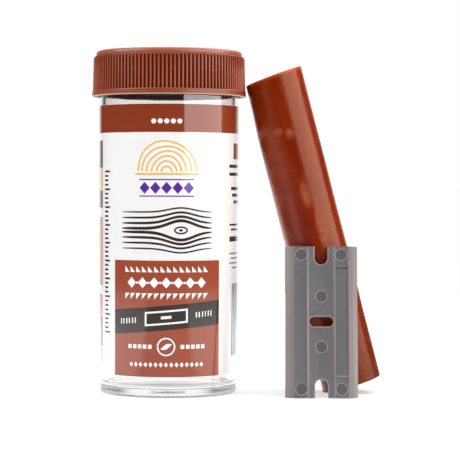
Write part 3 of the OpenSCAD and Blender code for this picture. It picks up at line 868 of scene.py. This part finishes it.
def stick_grid(columns=320):
    """Surface of the stick, from the pole of its foot to the pole of its top. Heights grow towards
    the top in proportion, by the slant's rise across the bar. Slow waves of a few hundredths of a
    mm swell the radius, the side that lies on the cap bulges by a squared cosine, most below the
    cap, by a smoothstep, the other one narrows towards the top by a square, a flash is pressed out
    at the foot's low side, the foot is cut on a slight slant that fades up the bar, and both ends
    sink by a shallow cosine."""
    foot = rounded_profile([(0, 0), (stick_r, 0, STICK_RIM), (stick_r, STICK_LEN)])[1:-1]
    top = rounded_profile([(stick_r, 0), (stick_r, STICK_LEN, TOP_RIM), (0, STICK_LEN)])[1:-1]
    face = np.linspace(0, 0.985, 9)[:, None] * [stick_r - STICK_RIM, 0]
    run = np.linspace(foot[-1, 1], top[0, 1], 140)[1:-1]
    shaft = np.stack([np.full_like(run, stick_r), run], 1)
    profile = np.concatenate([face, foot, shaft, top, face[::-1] + [0, STICK_LEN]])
    angle = np.arange(columns) * 2 * np.pi / columns
    radius = profile[:, :1] + 0 * angle
    along = profile[:, 1:] + 0 * angle
    edge = np.clip(radius / stick_r, 0, 1) ** 6
    dish = DISH * np.cos(np.clip(radius / (stick_r - 0.5), 0, 1) * np.pi / 2) ** 0.6
    dish *= np.where(along < STICK_LEN / 2, 1, -1) * (np.minimum(along, STICK_LEN - along) < 0.01)
    foot_flash = np.exp(-((along / 0.45) ** 2)) * np.exp(-(((angle - np.pi) / 0.7) ** 2))
    radius = radius + edge * 0.025 * np.sin(0.11 * along + 2 * angle)
    radius += edge * 0.02 * np.sin(0.23 * along - 3 * angle + 1.0)
    radius += edge * FLASH * foot_flash
    below_cap = np.clip((BULGE_END - along) / BULGE_FADE, 0, 1)
    bulge = TOP_BULGE + SIDE_BULGE * below_cap**2 * (3 - 2 * below_cap)
    radius += edge * bulge * np.clip(-np.cos(angle), 0, 1) ** 2
    radius -= edge * TOP_TAPER * np.clip(np.cos(angle), 0, 1) ** 2 * (along / STICK_LEN) ** 2
    across = radius * np.cos(angle)
    along = along + (1 - along / STICK_LEN) * (stick_r + across) * math.tan(FOOT_CUT)
    along = along + along / STICK_LEN * (stick_r + across) * math.tan(STICK_CUT) + dish
    points = stick_foot + along[..., None] * stick_axis + across[..., None] * stick_side
    points[..., 1] += radius * np.sin(angle)
    points[..., 2] = np.maximum(points[..., 2], 0)
    return points


wax, tree = empty_material("cast_filler_wax")
# Pigmented hard wax: light enters it by a millimetre or more, and a painted orange glow on the thin
# top rim stands for that light. Its skin is glossy with drag marks along the stick, dulled in smears
# and small scuffs, and a painted shade darkens its colour and dims its gloss towards the foot
spot = add_node(tree, "ShaderNodeTexCoord")
local = add_node(tree, "ShaderNodeMapping", {
    "Location": tuple(-stick_foot * MM)}, {"Vector": spot.outputs["Object"]})
turned = add_node(tree, "ShaderNodeMapping", {"Rotation": (0, STICK_LEAN, 0)}, {"Vector": local.outputs[0]})
drawn = add_node(tree, "ShaderNodeMapping", {"Scale": (1, 1, 0.06)}, {"Vector": turned.outputs[0]})
streak = add_node(tree, "ShaderNodeTexNoise", {"Scale": 420, "Detail": 5, "Roughness": 0.6}, {
    "Vector": drawn.outputs[0]})
slow = add_node(tree, "ShaderNodeMapping", {"Scale": (1, 1, 0.25)}, {"Vector": turned.outputs[0]})
body = add_node(tree, "ShaderNodeTexNoise", {"Scale": 110, "Detail": 3, "Distortion": 0.4}, {
    "Vector": slow.outputs[0]})
smear = add_node(tree, "ShaderNodeTexNoise", {
    "Scale": 260, "Detail": 6, "Roughness": 0.65, "Distortion": 1.2}, {
    "Vector": turned.outputs[0]})
depth = add_node(tree, "ShaderNodeMapRange", {"From Min": 0.35, "From Max": 0.65}, {
    "Value": body.outputs["Fac"]})
deep = add_node(tree, "ShaderNodeMix", {"A": linear("#720600"), "B": linear("#943200")}, {
    "Factor": depth.outputs[0]}, data_type="RGBA")
marks = add_node(tree, "ShaderNodeMapRange", {"From Min": 0.68, "From Max": 0.82, "To Max": 0.45}, {
    "Value": smear.outputs["Fac"]})
fleck = add_node(tree, "ShaderNodeTexNoise", {
    "Scale": 1700, "Detail": 5, "Roughness": 0.7, "Distortion": 1.5}, {
    "Vector": turned.outputs[0]})
flecks = add_node(tree, "ShaderNodeMapRange", {"From Min": 0.46, "From Max": 0.54}, {
    "Value": fleck.outputs["Fac"]})
scuffed = marks
for across, along, wide, tall in SCUFFS:
    off = add_node(tree, "ShaderNodeVectorMath", {1: (across * MM, -stick_r * MM, along * MM)}, {
        0: turned.outputs[0]}, operation="SUBTRACT")
    near = add_node(tree, "ShaderNodeVectorMath", {1: (1 / wide / MM, 1 / SCUFF_DEPTH / MM, 1 / tall / MM)}, {
        0: off.outputs[0]}, operation="MULTIPLY")
    reach = add_node(tree, "ShaderNodeVectorMath", operation="LENGTH", links={0: near.outputs[0]})
    patch = add_node(tree, "ShaderNodeMapRange", {
        "From Min": 0.3, "From Max": 1.0, "To Min": SCUFF_SHARE, "To Max": 0.0}, {
        "Value": reach.outputs["Value"]})
    worn = add_node(tree, "ShaderNodeMath", operation="MULTIPLY", links={
        0: patch.outputs[0], 1: flecks.outputs[0]})
    scuffed = add_node(tree, "ShaderNodeMath", operation="MAXIMUM", links={
        0: scuffed.outputs[0], 1: worn.outputs[0]})
tone = add_node(tree, "ShaderNodeMix", {"B": linear("#BC6640")}, {
    "Factor": scuffed.outputs[0], "A": deep.outputs[2]}, data_type="RGBA")
# Painted glow: near the top face and the outside, the colour is mixed towards bright orange
under = add_node(tree, "ShaderNodeVectorMath", {1: (math.tan(STICK_CUT), 0, -1)}, {
    0: turned.outputs[0]}, operation="DOT_PRODUCT")
below_top = add_node(tree, "ShaderNodeMath", {1: (STICK_LEN + stick_r * math.tan(STICK_CUT)) * MM}, {
    0: under.outputs["Value"]}, operation="ADD")
edge = add_node(tree, "ShaderNodeMapRange", {
    "From Min": 0.1 * MM, "From Max": PAINTED_RIM_GLOW * MM, "To Min": 1.0, "To Max": 0.0}, {
    "Value": below_top.outputs[0]}, interpolation_type="SMOOTHSTEP")
flat = add_node(tree, "ShaderNodeVectorMath", {1: (1, 1, 0)}, {0: turned.outputs[0]}, operation="MULTIPLY")
radial = add_node(tree, "ShaderNodeVectorMath", operation="LENGTH", links={0: flat.outputs[0]})
outer = add_node(tree, "ShaderNodeMapRange", {
    "From Min": (stick_r - 0.6) * MM, "From Max": (stick_r - 0.1) * MM, "To Min": 0.4, "To Max": 0.85}, {
    "Value": radial.outputs["Value"]})
thin = add_node(tree, "ShaderNodeMath", operation="MULTIPLY", links={0: edge.outputs[0], 1: outer.outputs[0]})
tone = add_node(tree, "ShaderNodeMix", {"B": linear("#B84E10")}, {
    "Factor": thin.outputs[0], "A": tone.outputs[2]}, data_type="RGBA")
# Painted shade: colour and gloss fade towards the foot, over the lower bar behind the scraper
axes = add_node(tree, "ShaderNodeSeparateXYZ", links={0: turned.outputs[0]})
painted_foot_shade = add_node(tree, "ShaderNodeMapRange", {
    "From Min": FOOT_SHADE_SPAN[0] * MM, "From Max": FOOT_SHADE_SPAN[1] * MM, "To Min": FOOT_PAINTED_SHADE, "To Max": 1.0}, {
    "Value": axes.outputs["Z"]})
tone = add_node(tree, "ShaderNodeVectorMath", operation="SCALE", links={
    0: tone.outputs[2], "Scale": painted_foot_shade.outputs[0]})
gleam = add_node(tree, "ShaderNodeMath", {1: GLEAM}, {0: painted_foot_shade.outputs[0]}, operation="MULTIPLY")
dull = add_node(tree, "ShaderNodeMapRange", {
    "From Min": 0.4, "From Max": 0.75, "To Min": 0.2, "To Max": 0.36}, {"Value": smear.outputs["Fac"]})
pitted = add_node(tree, "ShaderNodeBump", {"Strength": 0.5, "Distance": 0.12 * MM}, {
    "Height": scuffed.outputs[0]})
lines = add_node(tree, "ShaderNodeBump", {"Strength": 0.22, "Distance": 0.04 * MM}, {
    "Height": streak.outputs["Fac"], "Normal": pitted.outputs[0]})
waxy = add_node(tree, "ShaderNodeBsdfPrincipled", {
    "IOR": 1.45, "Specular Tint": linear("#FFDCB8"), "Subsurface Weight": 0.55,
    "Subsurface Radius": (1.0, 0.22, 0.08), "Subsurface Scale": 1.6 * MM},
    {"Base Color": tone.outputs[0], "Roughness": dull.outputs[0], "Normal": lines.outputs[0],
     "Specular IOR Level": gleam.outputs[0]})
add_node(tree, "ShaderNodeOutputMaterial", links={"Surface": waxy.outputs[0]})

stick = add_piece("wax_bar", *lattice(stick_grid()), wax, "stick", "brown_wax", 60)
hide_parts("wax_stick")


# Scraper
# Grey polycarbonate, moulded in one shot: two bevelled edges, a channel with the slot and
# notches of a razor blade, a long sunk panel, and the round marks of the ejector pins.
SCRAPER_EDGE = 0.05
SCRAPER_LEAN = math.radians(12)
MARK_AREA = 5.98
RECESS = (5.4, 32.7)
RECESS_X = (42.27, 45.32)
SCRAPER_T = 1.4
scraper_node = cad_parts["scraper"]
scraper_mesh = scraper_node.data.copy()
scraper_mesh.name = "scraper_blade"
scraper = bpy.data.objects.new("scraper_blade", scraper_mesh)
scene.collection.objects.link(scraper)
work = bmesh.new()
work.from_mesh(scraper_mesh)
bmesh.ops.remove_doubles(work, verts=work.verts, dist=0.002 * MM)
bmesh.ops.dissolve_limit(work, angle_limit=math.radians(1), verts=work.verts, edges=work.edges)
bmesh.ops.recalc_face_normals(work, faces=work.faces)
work.to_mesh(scraper_mesh)
work.free()
face_normals = np.zeros(len(scraper_mesh.polygons) * 3)
scraper_mesh.polygons.foreach_get("normal", face_normals)
squareness = np.abs(face_normals.reshape(-1, 3) @ [0, -math.cos(SCRAPER_LEAN), math.sin(SCRAPER_LEAN)])
areas = np.zeros(len(scraper_mesh.polygons))
scraper_mesh.polygons.foreach_get("area", areas)
# Shares of painted highlight for each kind of face, by how squarely it looks to the front: edges,
# bevels and the channel's lips; the floors of the pin marks get a negative share, which darkens them
mark_floor = (squareness > 0.99) & (np.abs(areas / MM**2 - MARK_AREA) < 1)
highlight_and_pin_mark_shares = np.select(
    [mark_floor, squareness < 0.4, squareness < 0.8, squareness < 0.95, squareness < 0.97, squareness < 0.99],
    [-0.5, 0.3, 0.78, 0.58, 0.5, 0.8], 0.0)
highlight_and_pin_mark_layer = scraper_mesh.attributes.new("painted_highlight_and_pin_marks", "FLOAT", "FACE")
highlight_and_pin_mark_layer.data.foreach_set("value", highlight_and_pin_mark_shares.astype(np.float32))
scraper_mesh.shade_smooth()
soften = scraper.modifiers.new("moulded_edges", "BEVEL")
soften.width = SCRAPER_EDGE * MM
soften.segments = 2
soften.limit_method = "ANGLE"
soften.angle_limit = math.radians(25)
soften.harden_normals = True

polycarbonate, tree = empty_material("moulded_grey_polycarbonate")
# A fine spark-eroded texture, satin all over, with a mottle of lighter flow marks a few tenths of
# a millimetre across. Chamfers, bevels and the lower end of the recess carry a painted highlight,
# the upper end of the recess a painted shade, and the floors of the pin marks are darker
spot = add_node(tree, "ShaderNodeTexCoord")
erosion = add_node(tree, "ShaderNodeTexNoise", {"Scale": 5000, "Detail": 3}, {
    "Vector": spot.outputs["Object"]})
flow = add_node(tree, "ShaderNodeTexNoise", {"Scale": 700, "Detail": 4, "Roughness": 0.6}, {
    "Vector": spot.outputs["Object"]})
shade = add_node(tree, "ShaderNodeMix", {"A": linear("#5A585C"), "B": linear("#6A686B")}, {
    "Factor": flow.outputs["Fac"]}, data_type="RGBA")
rims = add_node(tree, "ShaderNodeAttribute", attribute_name="painted_highlight_and_pin_marks")
lean_sin = math.sin(SCRAPER_LEAN)
lean_cos = math.cos(SCRAPER_LEAN)
foot_y = (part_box("scraper")[0].y / MM + SCRAPER_T * lean_cos) * MM
from_foot = add_node(tree, "ShaderNodeVectorMath", {1: (0, foot_y, 0)}, {
    0: spot.outputs["Object"]}, operation="SUBTRACT")
along = add_node(tree, "ShaderNodeVectorMath", {1: (0, lean_sin, lean_cos)}, {
    0: from_foot.outputs[0]}, operation="DOT_PRODUCT")
outward = add_node(tree, "ShaderNodeVectorMath", {1: (0, -lean_cos, lean_sin)}, {
    0: from_foot.outputs[0]}, operation="DOT_PRODUCT")
front = add_node(tree, "ShaderNodeMath", {1: SCRAPER_T / 2 * MM}, {
    0: outward.outputs["Value"]}, operation="GREATER_THAN")
axes = add_node(tree, "ShaderNodeSeparateXYZ", links={0: spot.outputs["Object"]})
beside = add_node(tree, "ShaderNodeMath", {
    1: sum(RECESS_X) / 2 * MM, 2: (RECESS_X[1] - RECESS_X[0]) / 2 * MM}, {
    0: axes.outputs["X"]}, operation="COMPARE")
inside = add_node(tree, "ShaderNodeMath", operation="MULTIPLY", links={
    0: front.outputs[0], 1: beside.outputs[0]})
# Painted highlight on the lower end of the recess and painted shade on its upper end, front face only
low_end = add_node(tree, "ShaderNodeMath", {1: (RECESS[0] - 0.05) * MM, 2: 0.14 * MM}, {
    0: along.outputs["Value"]}, operation="COMPARE")
painted_low_rim_highlight = add_node(tree, "ShaderNodeMath", operation="MULTIPLY", links={
    0: inside.outputs[0], 1: low_end.outputs[0]})
high_end = add_node(tree, "ShaderNodeMath", {1: (RECESS[1] - 0.15) * MM, 2: 0.16 * MM}, {
    0: along.outputs["Value"]}, operation="COMPARE")
painted_high_rim_shade = add_node(tree, "ShaderNodeMath", operation="MULTIPLY", links={
    0: inside.outputs[0], 1: high_end.outputs[0]})
painted_highlight_and_pin_marks = add_node(tree, "ShaderNodeMath", operation="MAXIMUM", links={
    0: rims.outputs["Fac"], 1: painted_low_rim_highlight.outputs[0]})
# Painted highlight: edges, bevels, lips and the lower end of the recess are mixed towards a light warm grey
shade = add_node(tree, "ShaderNodeMix", {"B": linear("#968A88")}, {
    "Factor": painted_highlight_and_pin_marks.outputs[0], "A": shade.outputs[2]}, data_type="RGBA")
# Darker: the floors of the pin marks, and the upper end of the recess as painted shade
hollow = add_node(tree, "ShaderNodeMath", {1: -1.0}, {0: rims.outputs["Fac"]}, operation="MULTIPLY")
pin_marks_and_painted_shade = add_node(tree, "ShaderNodeMath", operation="MAXIMUM", links={
    0: hollow.outputs[0], 1: painted_high_rim_shade.outputs[0]})
shade = add_node(tree, "ShaderNodeMix", {"B": linear("#3F3D41")}, {
    "Factor": pin_marks_and_painted_shade.outputs[0], "A": shade.outputs[2]}, data_type="RGBA")
satin = add_node(tree, "ShaderNodeMapRange", {"To Min": 0.36, "To Max": 0.52}, {"Value": flow.outputs["Fac"]})
skin = add_node(tree, "ShaderNodeBump", {"Strength": 0.3, "Distance": 0.01 * MM}, {
    "Height": erosion.outputs["Fac"]})
hard = add_node(tree, "ShaderNodeBsdfPrincipled", {"IOR": 1.58}, {
    "Base Color": shade.outputs[2], "Roughness": satin.outputs[0], "Normal": skin.outputs[0]})
add_node(tree, "ShaderNodeOutputMaterial", links={"Surface": hard.outputs[0]})
scraper_mesh.materials.clear()
scraper_mesh.materials.append(polycarbonate)
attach(scraper, "scraper")
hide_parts("scraper")
